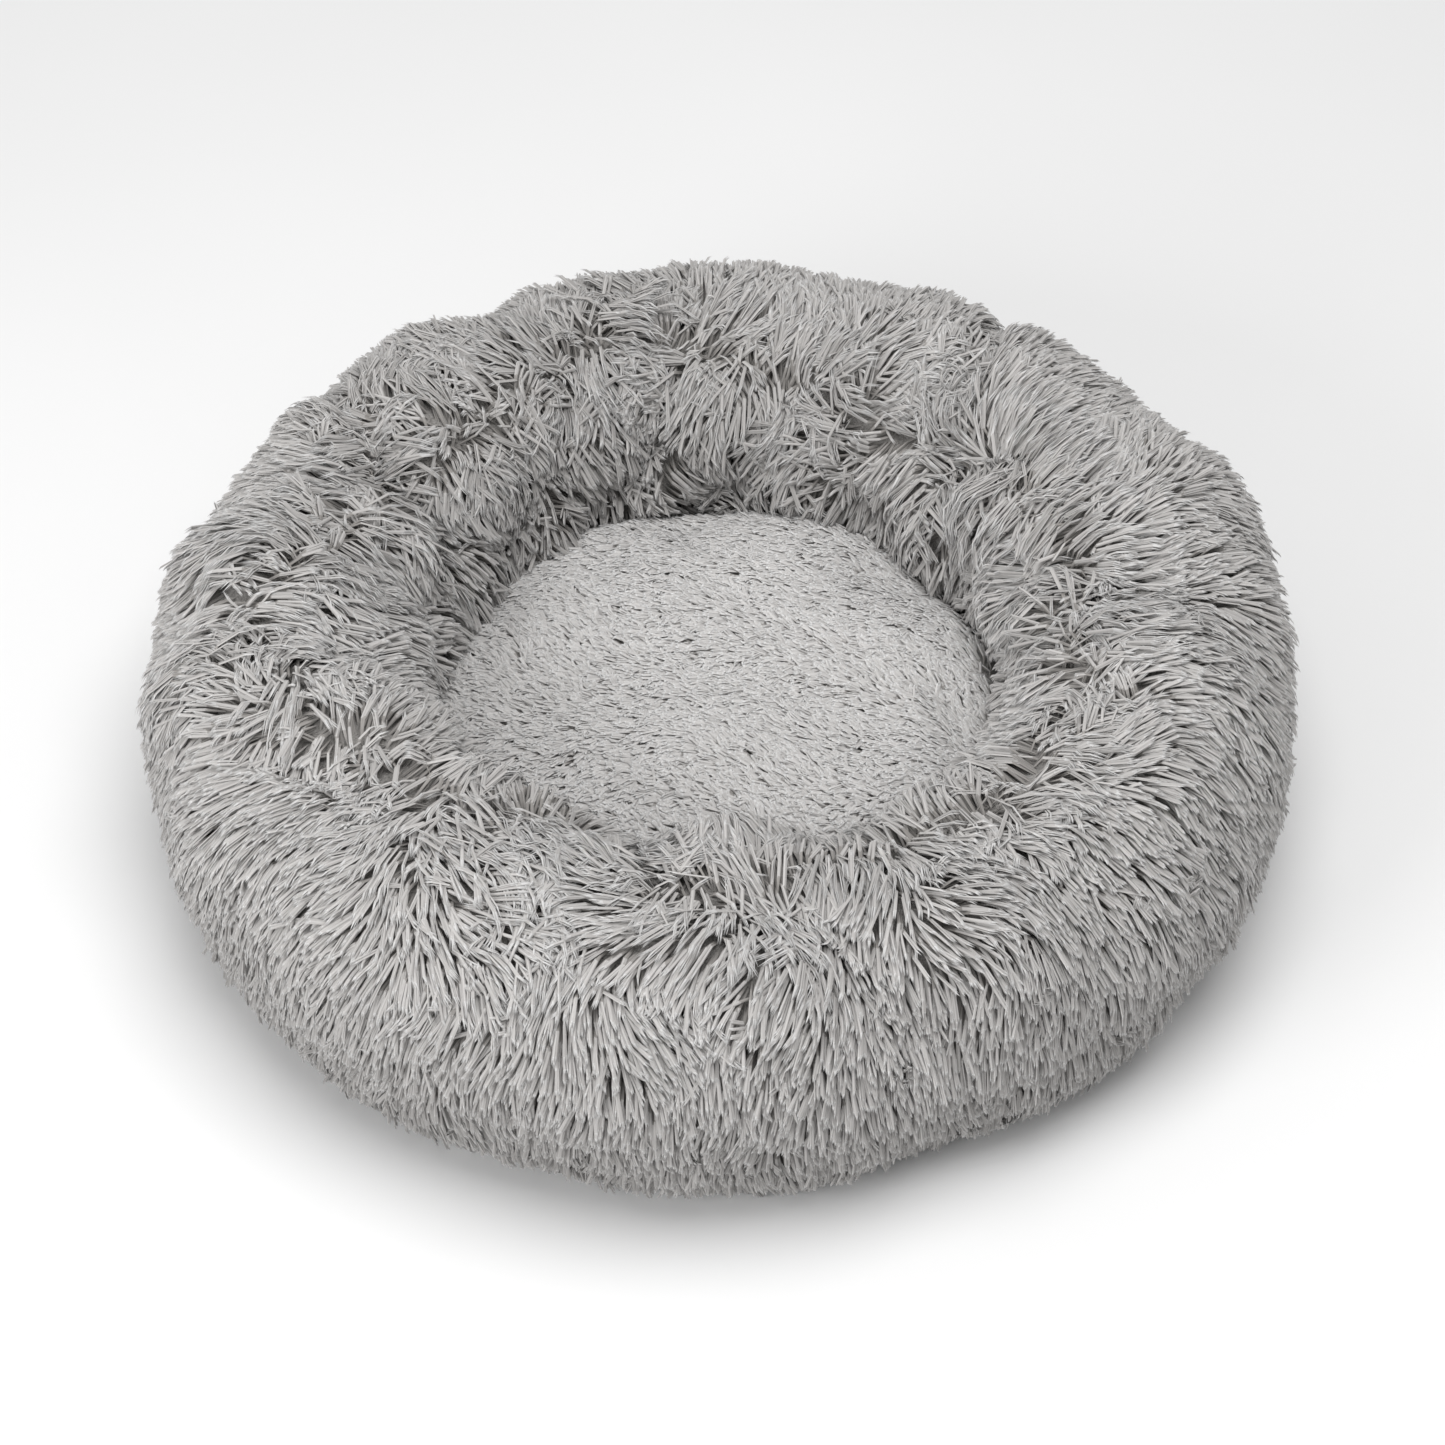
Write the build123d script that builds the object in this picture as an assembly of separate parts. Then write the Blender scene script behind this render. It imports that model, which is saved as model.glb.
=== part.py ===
"""Round plush pet bed with a removable zipped cover.

A soft ring (the rim) surrounds a padded floor. The cover is long-pile plush above and non-slip
woven fabric below, and a zip across the underside lets the ring insert and the pad insert come out.
Frame: origin on the floor under the centre, +Z up, front towards -Y. Units are millimetres.
Round pieces are a section in the X-Z plane, where X is the radius, turned about Z. Zip pieces are
laid out by their distance across from the zip's middle line, which runs along X.
"""
from build123d import *
import os

os.makedirs("parts", exist_ok=True)

# ---- driving dimensions: the bed ---------------------------------------------------------
BED_RADIUS = 300.0          # to the tips of the pile
BED_HEIGHT = 176.0
RIM_WIDTH = 160.0           # of the ring's section, pile included
PILE = 22.0                 # how far the long pile stands off its backing
BACKING = 2.0               # knitted backing of the plush
SEAM_HEIGHT = 62.0          # where the rim plush and the floor plush are sewn together
SEAM_RADIUS = 146.0
FLOOR_CROWN = 94.0          # top of the floor pile at the centre
FLOOR_EDGE = 84.0           # top of the floor pile at the rim
FLOOR_PLUSH = 18.0          # backing and flattened pile of the floor panel
FLOOR_ROUND = 8.0           # rounding of the floor panel's upper edge
BASE_RADIUS = 246.0         # woven underside, to its seam with the rim plush
BASE_THICK = 1.2
LINER = 1.0                 # non-woven cloth of both inserts
GAP = 0.2                   # room between pieces that only lie against each other
THREAD = 0.6                # sewing thread, width of a seam line
THREAD_THICK = 0.4

# corner radii of the ring's section: top outer, top inner, bottom outer, bottom inner
RIM_ROUNDS = (78.0, 72.0, 60.0, 40.0)
INSERT_ROUNDS = (54.0, 48.0, 55.0, 30.0)

PAD_RADIUS = 162.0          # of the pad insert
PAD_SHOULDER = 118.0        # radius at which its top starts to fall
PAD_SIDE = 36.0             # height at which its side becomes upright
PAD_FOOT_ROUND = 18.0

# ---- driving dimensions: the zip ---------------------------------------------------------
ZIP_Y = -70.0               # the zip runs along X, in front of the centre
TAPE_LENGTH = 400.0
STOP_X = 176.0              # from the middle to the inner face of either stop
OPENING_LENGTH = 384.0      # of the gap between the two base panels
OPENING_WIDTH = 18.0
TAPE_THICK = 0.6
TAPE_REACH = 16.0           # from the zip's middle to the tape's outer edge
TAPE_FLAT_FROM = 10.0       # the tape lies on the base panel from here out
TAPE_RAISED_TO = 6.2        # and is raised, over the coils, from here in
CHAIN_LOW = 4.1
CHAIN_HIGH = 6.7
CHAIN_HALF = 3.0            # half the width of the closed coils
SLOT_HALF = 0.6             # half the slot between them, which the slider's wedge runs in
COIL_BEAD = 0.9
COIL_PITCH = 2.0
TOOTH_LENGTH = 1.1          # of one tooth, measured along the zip
STOP_LENGTH = 3.0
STOP_LOW = 3.2
STOP_HALF = 2.6

SLIDER_LENGTH = 12.0
SLIDER_HALF = 4.9           # half its width
SLIDER_ROUND = 1.5
SLIDER_WALL = 1.1           # thickness of its two plates
SLIDER_FLANGE = 1.0         # thickness of its side walls
SLIDER_CLEAR = 0.3          # to the coils, the tapes and the stops
WEDGE_LENGTH = 4.0          # the wedge joins the two plates at the leading end
PIVOT_AHEAD = 2.5           # from the slider's middle towards its leading end
PIVOT_HEIGHT = 1.8
PIN_RADIUS = 0.5
PIN_CLEAR = 0.06
LUG_HALF = 0.8              # half its width, across the zip
LUG_RADIUS = 1.05
PULL_THICK = 1.2
PULL_LENGTH = 22.0
PULL_HALF = 3.0
FORK_GAP_HALF = 1.0
FORK_DEPTH = 2.0
PULL_HOLE = 2.0

LABEL_X = 120.0
LABEL_SIZE = (40.0, 28.0, 0.3)

# ---- derived dimensions ------------------------------------------------------------------
RIM_INNER = BED_RADIUS - RIM_WIDTH
INSERT_LOW = BASE_THICK + TAPE_THICK + GAP
CHANNEL_TOP = CHAIN_HIGH + TAPE_THICK + SLIDER_CLEAR + SLIDER_WALL + 1.8
SLIDER_X = STOP_X - SLIDER_CLEAR - SLIDER_LENGTH / 2      # closed: against the top stops


# ---- shared shapes -----------------------------------------------------------------------
def rounded_section(r_in, r_out, low, high, rounds):
    """An upright rectangle with four corner radii, in the order of RIM_ROUNDS."""
    corners = ((r_out, high), (r_in, high), (r_out, low), (r_in, low))
    face = make_face(Polyline((r_in, low), (r_out, low), (r_out, high), (r_in, high), close=True))
    for (x, y), radius in zip(corners, rounds):
        corner = min(face.vertices(), key=lambda v: (v.X - x) ** 2 + (v.Y - y) ** 2)
        face = fillet(corner, radius)
    return face


def slab(r_in, r_out, low, high):
    """A plain rectangle of a section."""
    return make_face(Polyline((r_in, low), (r_out, low), (r_out, high), (r_in, high), close=True))


def turned(section):
    """The solid that a section makes about Z."""
    return revolve(Plane.XZ * section, Axis.Z)


def block(x0, x1, across0, across1, z0, z1):
    """A box beside the zip's middle line, from its two corners."""
    middle = Pos((x0 + x1) / 2, ZIP_Y + (across0 + across1) / 2, (z0 + z1) / 2)
    return middle * Box(abs(x1 - x0), abs(across1 - across0), abs(z1 - z0))


def strip(points, x0, x1):
    """A solid along the zip with one section all along, given as (across, height) points."""
    section = Plane.YZ * make_face(Polyline(*points, close=True))
    return Pos(x0, ZIP_Y, 0) * extrude(section, amount=x1 - x0, dir=(1, 0, 0))


def cross_pin(x, z, radius, half_length):
    """A round bar across the zip."""
    return Pos(x, ZIP_Y, z) * Rot(90, 0, 0) * Cylinder(radius, 2 * half_length)


def save(shape, name):
    """Writes one piece, which is one solid, to its own file."""
    solid = shape.solids()[0]
    solid.label = name
    export_step(solid, f"parts/{name}.step")


# ---- the two inserts ---------------------------------------------------------------------
def zip_channel(margin):
    """The hollow that the zip presses into the inserts."""
    return block(
        -TAPE_LENGTH / 2 - 12 - margin,
        TAPE_LENGTH / 2 + 12 + margin,
        -TAPE_REACH - 1 - margin,
        TAPE_REACH + 1 + margin,
        -1,
        CHANNEL_TOP + margin,
    )


def rim_insert_section(inset):
    """The ring insert, taken in by inset all round."""
    wall = PILE + BACKING + inset
    rounds = tuple(radius - inset for radius in INSERT_ROUNDS)
    return rounded_section(RIM_INNER + wall, BED_RADIUS - wall, INSERT_LOW + inset, BED_HEIGHT - wall, rounds)


def floor_underside(r):
    """Height of the underside of the floor plush at radius r."""
    return FLOOR_CROWN - FLOOR_PLUSH - (FLOOR_CROWN - FLOOR_EDGE) * (r / SEAM_RADIUS) ** 2


def pad_insert_section(inset):
    """The pad insert, taken in by inset: a crowned top, a falling shoulder and a rounded foot."""
    low = INSERT_LOW + inset
    side = PAD_RADIUS - inset
    drop = GAP + inset
    foot = PAD_FOOT_ROUND - inset
    crown = (0, floor_underside(0) - drop)
    halfway = (PAD_SHOULDER / 2, floor_underside(PAD_SHOULDER / 2) - drop)
    shoulder = (PAD_SHOULDER, floor_underside(PAD_SHOULDER) - drop)
    top = ThreePointArc(crown, halfway, shoulder)
    fall = TangentArc(shoulder, (side, PAD_SIDE), tangent=top % 1)
    outline = Curve() + [
        top,
        fall,
        Line((side, PAD_SIDE), (side, low + foot)),
        JernArc(start=(side, low + foot), tangent=(0, -1), radius=foot, arc_size=-90),
        Line((side - foot, low), (0, low)),
        Line((0, low), crown),
    ]
    return make_face(outline)


def inserts():
    """Each insert is a bag of non-woven cloth around its own filling."""
    for name, section in (("rim", rim_insert_section), ("pad", pad_insert_section)):
        bag = turned(section(0)) - zip_channel(0)
        filling = turned(section(LINER)) - zip_channel(LINER)
        save(bag - filling, f"{name}_liner")
        save(filling, f"{name}_fill")


# ---- the cover ---------------------------------------------------------------------------
def rim_cover():
    """Plush from the base seam, round the outside and over the top, down to the floor seam."""
    ring = rounded_section(RIM_INNER, BED_RADIUS, 0, BED_HEIGHT, RIM_ROUNDS)
    below_seams = slab(0, BASE_RADIUS, -1, SEAM_HEIGHT)
    beside_floor = slab(0, SEAM_RADIUS, SEAM_HEIGHT - 1, FLOOR_EDGE + 1)
    section = ring - rim_insert_section(-GAP) - below_seams - beside_floor
    save(turned(section), "rim_cover")


def cushion_cover():
    """Crowned disc of plush over the pad insert, sewn to the rim plush at its edge."""
    edge = SEAM_RADIUS - GAP
    quarter_drop = (FLOOR_CROWN - FLOOR_EDGE) / 4
    outline = Curve() + [
        ThreePointArc((0, FLOOR_CROWN), (edge / 2, FLOOR_CROWN - quarter_drop), (edge, FLOOR_EDGE - GAP)),
        Line((edge, FLOOR_EDGE - GAP), (edge, SEAM_HEIGHT)),
        Line((edge, SEAM_HEIGHT), (0, SEAM_HEIGHT)),
        Line((0, SEAM_HEIGHT), (0, FLOOR_CROWN)),
    ]
    disc = make_face(outline)
    upper_edge = max(disc.vertices(), key=lambda v: v.X + v.Y)
    disc = fillet(upper_edge, FLOOR_ROUND)
    save(turned(disc - pad_insert_section(-GAP)), "cushion_cover")


def seam_thread(name, radius, low):
    """The line of thread along one of the round seams."""
    save(turned(slab(radius - THREAD / 2, radius + THREAD / 2, low, low + THREAD_THICK)), name)


def zip_thread(side):
    """The line of thread that holds a tape to its base panel."""
    middle = side * (TAPE_FLAT_FROM + TAPE_REACH) / 2
    end = TAPE_LENGTH / 2 - 3
    return block(-end, end, middle - THREAD / 2, middle + THREAD / 2, 0, THREAD_THICK)


def base_panel(side):
    """Half of the woven underside, on one side of the zip."""
    disc = extrude(Circle(BASE_RADIUS), BASE_THICK)
    half = block(-BED_RADIUS, BED_RADIUS, 0, side * 2 * BED_RADIUS, -1, BASE_THICK + 1)
    opening = block(
        -OPENING_LENGTH / 2, OPENING_LENGTH / 2, -OPENING_WIDTH / 2, OPENING_WIDTH / 2, -1, BASE_THICK + 1
    )
    return (disc & half) - opening - zip_thread(side)


def care_label():
    """Blank label sewn in behind the zip, lying on the inside of the rear base panel."""
    length, width, thick = LABEL_SIZE
    return block(LABEL_X, LABEL_X + length, TAPE_REACH, TAPE_REACH + width, BASE_THICK, BASE_THICK + thick)


# ---- the zip -----------------------------------------------------------------------------
def zip_tape(side):
    """Woven tape: flat on the base panel, then raised to carry the coil."""
    lean = TAPE_THICK * 2 / 3
    under = [
        (TAPE_REACH, BASE_THICK),
        (TAPE_FLAT_FROM, BASE_THICK),
        (TAPE_RAISED_TO, CHAIN_HIGH),
        (SLOT_HALF, CHAIN_HIGH),
    ]
    over = [
        (SLOT_HALF, CHAIN_HIGH + TAPE_THICK),
        (TAPE_RAISED_TO + lean, CHAIN_HIGH + TAPE_THICK),
        (TAPE_FLAT_FROM + lean, BASE_THICK + TAPE_THICK),
        (TAPE_REACH, BASE_THICK + TAPE_THICK),
    ]
    section = [(side * across, height) for across, height in under + over]
    return strip(section, -TAPE_LENGTH / 2, TAPE_LENGTH / 2)


def zip_coil(side):
    """A bead along the tape with one tooth for every turn of the coil."""
    inner, outer = CHAIN_HALF - COIL_BEAD, CHAIN_HALF
    teeth = int((2 * STOP_X - COIL_PITCH) / COIL_PITCH)
    lead = (COIL_PITCH - TOOTH_LENGTH) / 2 + (COIL_PITCH / 2 if side > 0 else 0)
    outline = [(STOP_X, inner), (STOP_X, outer), (-STOP_X, outer), (-STOP_X, inner)]
    for tooth in range(teeth):
        start = -STOP_X + lead + tooth * COIL_PITCH
        end = start + TOOTH_LENGTH
        outline += [(start, inner), (start, SLOT_HALF), (end, SLOT_HALF), (end, inner)]
    comb = make_face(Polyline(*[(x, side * across) for x, across in outline], close=True))
    return Pos(0, ZIP_Y, CHAIN_LOW) * extrude(comb, amount=CHAIN_HIGH - CHAIN_LOW, dir=(0, 0, 1))


def zip_stops():
    """A stop on each tape at the closed end, and one across both at the open end."""
    for side, place in ((-1, "front"), (1, "rear")):
        stop = block(STOP_X, STOP_X + STOP_LENGTH, side * SLOT_HALF, side * STOP_HALF, STOP_LOW, CHAIN_HIGH)
        save(stop, f"zip_top_stop_{place}")
    bottom = block(-STOP_X - STOP_LENGTH, -STOP_X, -STOP_HALF, STOP_HALF, STOP_LOW, CHAIN_HIGH)
    save(bottom, "zip_bottom_stop")


def slider_plate(low):
    """One of the slider's two plates."""
    outline = RectangleRounded(SLIDER_LENGTH, 2 * SLIDER_HALF, SLIDER_ROUND)
    return Pos(SLIDER_X, ZIP_Y, low) * extrude(outline, SLIDER_WALL)


def zip_slider():
    """Plates under the coils and over the tapes, side walls, wedge, and a lug for the pull."""
    under = CHAIN_LOW - SLIDER_CLEAR
    over = CHAIN_HIGH + TAPE_THICK + SLIDER_CLEAR
    front = SLIDER_X + SLIDER_LENGTH / 2
    half = SLIDER_LENGTH / 2 - SLIDER_ROUND
    body = slider_plate(under - SLIDER_WALL) + slider_plate(over)
    body += block(front - WEDGE_LENGTH, front - 0.5, -SLOT_HALF / 2, SLOT_HALF / 2, under - 0.5, over + 0.5)
    for side in (-1, 1):
        inner, outer = side * (SLIDER_HALF - SLIDER_FLANGE), side * SLIDER_HALF
        body += block(
            SLIDER_X - half, SLIDER_X + half, inner, outer, under - 0.5, CHAIN_HIGH - SLIDER_CLEAR
        )
    pivot = SLIDER_X + PIVOT_AHEAD
    body += block(pivot - LUG_RADIUS, pivot + LUG_RADIUS, -LUG_HALF, LUG_HALF, PIVOT_HEIGHT, under - 0.5)
    body += cross_pin(pivot, PIVOT_HEIGHT, LUG_RADIUS, LUG_HALF)
    return body - cross_pin(pivot, PIVOT_HEIGHT, PIN_RADIUS + PIN_CLEAR, LUG_HALF + 1)


def zip_pull():
    """Flat tab with a forked end whose pin passes through the slider's lug."""
    pivot = SLIDER_X + PIVOT_AHEAD
    half_thick = PULL_THICK / 2
    tab_outline = RectangleRounded(PULL_LENGTH - FORK_DEPTH, 2 * PULL_HALF, 1.8)
    tab_middle = pivot - FORK_DEPTH - (PULL_LENGTH - FORK_DEPTH) / 2
    tab = Pos(tab_middle, ZIP_Y, PIVOT_HEIGHT - half_thick) * extrude(tab_outline, PULL_THICK)
    hole_x = pivot - PULL_LENGTH + 2 * PULL_HALF - 1
    tab -= Pos(hole_x, ZIP_Y, PIVOT_HEIGHT) * Cylinder(PULL_HOLE, 2 * PULL_THICK)
    arm_outer = PULL_HALF - 0.6
    for side in (-1, 1):
        tab += block(
            pivot - FORK_DEPTH - 1.5,
            pivot,
            side * FORK_GAP_HALF,
            side * arm_outer,
            PIVOT_HEIGHT - half_thick,
            PIVOT_HEIGHT + half_thick,
        )
        arm_end = cross_pin(pivot, PIVOT_HEIGHT, half_thick, (arm_outer - FORK_GAP_HALF) / 2)
        tab += Pos(0, side * (arm_outer + FORK_GAP_HALF) / 2, 0) * arm_end
    return tab + cross_pin(pivot, PIVOT_HEIGHT, PIN_RADIUS, FORK_GAP_HALF + 0.5)


# ---- the pieces --------------------------------------------------------------------------
inserts()
rim_cover()
cushion_cover()
seam_thread("floor_seam_thread", SEAM_RADIUS, SEAM_HEIGHT - THREAD_THICK)
seam_thread("base_seam_thread", BASE_RADIUS - 2, BASE_THICK)
for zip_side, zip_place in ((-1, "front"), (1, "rear")):
    save(base_panel(zip_side), f"base_panel_{zip_place}")
    save(zip_thread(zip_side), f"zip_thread_{zip_place}")
    save(zip_tape(zip_side), f"zip_tape_{zip_place}")
    save(zip_coil(zip_side), f"zip_coil_{zip_place}")
save(care_label(), "care_label")
zip_stops()
save(zip_slider(), "zip_slider")
save(zip_pull(), "zip_pull")
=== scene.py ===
"""Looks of a round long-pile plush pet bed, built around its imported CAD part.

The pile is real geometry: thousands of locks, each a few flat fibres, that grow from a soft rim skin
and floor skin and lie along a combing direction. Everything is in metres, in the part's frame.
"""
import itertools
import math
from dataclasses import dataclass

import bmesh
import bpy
import numpy as np
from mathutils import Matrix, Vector


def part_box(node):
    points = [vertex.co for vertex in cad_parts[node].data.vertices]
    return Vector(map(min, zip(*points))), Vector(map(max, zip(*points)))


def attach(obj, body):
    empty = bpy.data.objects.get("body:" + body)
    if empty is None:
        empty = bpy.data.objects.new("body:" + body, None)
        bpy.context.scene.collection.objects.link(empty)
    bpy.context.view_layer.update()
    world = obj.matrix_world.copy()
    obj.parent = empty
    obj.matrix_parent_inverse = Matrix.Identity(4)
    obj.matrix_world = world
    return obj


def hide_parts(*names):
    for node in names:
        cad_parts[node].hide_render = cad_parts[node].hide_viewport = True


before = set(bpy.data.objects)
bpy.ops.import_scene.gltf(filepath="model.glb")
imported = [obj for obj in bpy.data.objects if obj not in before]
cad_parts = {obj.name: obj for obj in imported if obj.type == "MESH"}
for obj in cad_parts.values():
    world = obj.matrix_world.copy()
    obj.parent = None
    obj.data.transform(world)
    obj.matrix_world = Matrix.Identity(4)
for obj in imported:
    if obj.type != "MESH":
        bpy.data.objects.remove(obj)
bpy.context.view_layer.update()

# ---- measures read from the frame --------------------------------------------------------
_, RIM_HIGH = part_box("rim_cover")
PAD_LOW, PAD_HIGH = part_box("cushion_cover")
_, BASE_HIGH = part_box("base_panel_rear")
_, FRONT_TAPE_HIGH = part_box("zip_tape_front")
REAR_TAPE_LOW, REAR_TAPE_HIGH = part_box("zip_tape_rear")
BED_RADIUS = RIM_HIGH[0]
BED_HEIGHT = RIM_HIGH[2]
PAD_RADIUS = PAD_HIGH[0]
PAD_TOP = PAD_HIGH[2]
PAD_SEAM = PAD_LOW[2]
BASE_RADIUS = BASE_HIGH[0]
BASE_TOP = BASE_HIGH[2]
ZIP_Y = (FRONT_TAPE_HIGH[1] + REAR_TAPE_LOW[1]) / 2
ZIP_END = REAR_TAPE_HIGH[0]
ZIP_HALF = REAR_TAPE_HIGH[1] - ZIP_Y

# ---- proportions of the soft parts -------------------------------------------------------
RIM_WIDTH = 0.160
RIM_STAND = 0.016           # how far the lying pile stands off the rim's skin
PAD_STAND = 0.006
PAD_DROP = 0.012            # from the pad's middle to its edge
PAD_TUCK = 0.012            # how far its edge is tucked down behind the rim
PAD_REACH = PAD_RADIUS + 0.011      # where the pad's skin meets the rim's
SECTION_POWER = 2.3         # 2 is an ellipse, more is squarer
RIM_MIDDLE = BED_RADIUS - RIM_WIDTH / 2
RIM_HALF = RIM_WIDTH / 2 - RIM_STAND
RIM_WAIST = 0.089           # height at which the rim is widest
RIM_UP = BED_HEIGHT - RIM_STAND - RIM_WAIST
RIM_DOWN = RIM_WAIST - 0.001
SKIN_FROM = math.radians(-78)       # turn of the rim's section at its seam with the base
SKIN_TO = math.radians(196)         # and inside, below the edge of the pad
PILE_FROM = math.radians(-69)       # just outside the base
LUMP = 0.0032               # height of the filling's lumps
LUMP_SIZES = (0.22, 0.08)
BACK_SAG = 0.004            # how much lower the ring is at the back

SEED = 11
FULL_TURN = 2 * math.pi


# ---- noise and small maths ---------------------------------------------------------------
def xyz(x, y, z):
    """Points from their coordinates. A single number holds for all of them."""
    return np.stack(np.broadcast_arrays(x, y, z), axis=-1)


def unit(v):
    """Vectors scaled to length one."""
    return v / np.maximum(np.linalg.norm(v, axis=-1, keepdims=True), 1e-12)


def waves(points, wavelength, seed, count=9):
    """Smooth noise of about unit size: sine waves of nearly one wavelength, in random directions."""
    rng = np.random.default_rng(seed)
    directions = unit(rng.normal(size=(count, 3)))
    numbers = FULL_TURN / (wavelength * rng.uniform(0.75, 1.35, count))
    phases = rng.uniform(0, FULL_TURN, count)
    total = np.zeros(points.shape[:-1])
    for direction, number, phase in zip(directions, numbers, phases):
        total += np.sin(points @ direction * number + phase)
    return total / math.sqrt(count / 2)


def bump(distance, width):
    """A smooth hill of height one."""
    return np.exp(-((distance / width) ** 2))


def step_up(value, start, end):
    """A smooth rise from 0 at start to 1 at end."""
    share = np.clip((value - start) / (end - start), 0, 1)
    return share * share * (3 - 2 * share)


def angle_from(angle, middle):
    """Signed angle from middle, in radians, between -pi and pi."""
    return (angle - middle + np.pi) % FULL_TURN - np.pi


# ---- the rim's and the pad's shapes ------------------------------------------------------
# A fold creases the ring: (azimuth at the crest in degrees, lean of the crease, depth, half width)
FOLDS = ((147, -0.12, 0.014, 0.011), (50, 0.12, 0.012, 0.010))
# A dip lowers and thins the ring over a stretch of it: (azimuth, depth, half width in degrees).
# One of negative depth raises it.
DIPS = ((157, 0.012, 13), (98, 0.003, 12), (62, -0.006, 9), (42, 0.006, 9))
# A flat takes a little off the outside only, in the same terms
FLATS = ((-130, -0.003, 14), (-69, 0.009, 15))


def rim_section(turn):
    """Distance from the ring's middle line and height, at an angle round the ring's section."""
    across, up = np.cos(turn), np.sin(turn)
    out = RIM_HALF * np.sign(across) * np.abs(across) ** (2 / SECTION_POWER)
    tall = np.where(up > 0, RIM_UP, RIM_DOWN)
    return out, tall * np.sign(up) * np.abs(up) ** (2 / SECTION_POWER)


def rim_swell(az, turn, rough):
    """How far the skin stands out from the plain section: lumps, dips and folds."""
    upper = np.clip(np.sin(turn) * 1.4, 0, 1)
    inner = np.clip(-1.5 * np.cos(turn), 0, 1)
    lumps = sum(LUMP * waves(rough, size, SEED + index) for index, size in enumerate(LUMP_SIZES))
    swell = lumps * (0.35 + 0.65 * upper) - BACK_SAG * upper * (1 + np.sin(az)) / 2
    swell += 0.0036 * inner * waves(rough, 0.048, SEED + 13)
    outer = np.clip(np.cos(turn), 0, 1)
    for part, shapes in ((upper, DIPS), (outer, FLATS)):
        for middle, depth, width in shapes:
            swell -= depth * part * bump(angle_from(az, math.radians(middle)), math.radians(width))
    for middle, lean, depth, width in FOLDS:
        beside = angle_from(az, math.radians(middle) + lean * np.cos(turn)) * RIM_MIDDLE
        swell -= depth * upper * bump(beside, width)
    return swell


def rim_shape(az, turn, inset=0.0):
    """Points of the rim. az goes round the bed; turn goes round the section, from the outside up."""
    out, up = rim_section(turn)
    around = xyz(np.cos(az), np.sin(az), 0.0)
    rough = around * (RIM_MIDDLE + out)[..., None]
    rough[..., 2] = RIM_WAIST + up
    grow = 1 + (rim_swell(az, turn, rough) - inset) / RIM_HALF
    point = around * (RIM_MIDDLE + out * grow)[..., None]
    point[..., 2] = np.maximum(RIM_WAIST + up * grow, RIM_WAIST - RIM_DOWN)
    return point


def pad_shape(x, y):
    """Points of the pad over the floor point (x, y): crowned, and falling to its seam at the edge."""
    far = np.hypot(x, y)
    height = PAD_TOP - PAD_STAND - PAD_DROP * (far / PAD_RADIUS) ** 2
    height -= PAD_TUCK * step_up(far, PAD_RADIUS - 0.004, PAD_REACH)
    return xyz(x, y, height + 0.0022 * waves(xyz(x, y, 0.0), 0.11, SEED + 2))


def pad_shape_round(az, reach):
    """Points of the pad at an azimuth and a distance from its middle."""
    return pad_shape(reach * np.cos(az), reach * np.sin(az))


# ---- meshes from grids and lines ---------------------------------------------------------
def grid_faces(rows, columns, wrap):
    """Faces of a grid of points; wrap joins its last row to its first."""
    across = np.arange(columns - 1)
    faces = []
    for row in range(rows if wrap else rows - 1):
        here, after = row * columns + across, (row + 1) % rows * columns + across
        faces.append(np.stack([here, after, after + 1, here + 1], axis=1))
    return np.concatenate(faces)


def ring_faces(rings, sides, closed):
    """Faces between rings of points; closed joins the last ring to the first."""
    faces = []
    for ring in range(rings if closed else rings - 1):
        here, after = ring * sides, (ring + 1) % rings * sides
        for corner in range(sides):
            beside = (corner + 1) % sides
            faces.append((here + corner, here + beside, after + beside, after + corner))
    return faces


def linked(mesh):
    """An object that shows this mesh, in the scene."""
    made = bpy.data.objects.new(mesh.name, mesh)
    bpy.context.collection.objects.link(made)
    return made


def new_object(name, verts, faces, smooth=True):
    """An object of these points and faces. The faces come in a list or an array."""
    mesh = bpy.data.meshes.new(name)
    mesh.from_pydata(np.asarray(verts).tolist(), [], faces if isinstance(faces, list) else faces.tolist())
    mesh.polygons.foreach_set("use_smooth", np.full(len(faces), smooth))
    mesh.update()
    return linked(mesh)


def add_piece(made, slot, material, *replaced):
    """Finishes a piece of the bed: its material and the CAD nodes that it stands for, which it hides. slot
    is not used.
    """
    made.data.materials.append(material)
    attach(made, "bed")
    if replaced:
        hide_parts(*replaced)


# ---- cloth -------------------------------------------------------------------------------
SIM_FRAMES = 20


def inflated(points, sewn, pressure, cap):
    """A grid of points, its rows joined in a ring, after cloth simulation under pressure.

    sewn says which columns are held, as shares of the way across. No point moves further than cap.
    """
    rows, columns = points.shape[:2]
    cloth = new_object("cloth", points.reshape(-1, 3), grid_faces(rows, columns, True))
    group = cloth.vertex_groups.new(name="sewn")
    held = [round(share * (columns - 1)) for share in sewn]
    group.add([row * columns + column for row in range(rows) for column in held], 1.0, "REPLACE")
    modifier = cloth.modifiers.new("cloth", "CLOTH")
    settings = modifier.settings
    settings.quality = 5
    settings.mass = 0.3
    settings.vertex_group_mass = "sewn"
    settings.use_pressure = True
    settings.uniform_pressure_force = pressure
    settings.effector_weights.gravity = 0
    modifier.collision_settings.use_collision = False
    scene = bpy.context.scene
    for number in range(1, SIM_FRAMES + 1):
        scene.frame_set(number)
    shown = cloth.evaluated_get(bpy.context.evaluated_depsgraph_get())
    after = np.empty(rows * columns * 3)
    shown.data.vertices.foreach_get("co", after)
    bpy.data.objects.remove(cloth)
    scene.frame_set(1)
    moved = after.reshape(points.shape) - points
    far = np.linalg.norm(moved, axis=-1, keepdims=True)
    return points + moved * np.minimum(1, cap / np.maximum(far, 1e-9))


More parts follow.
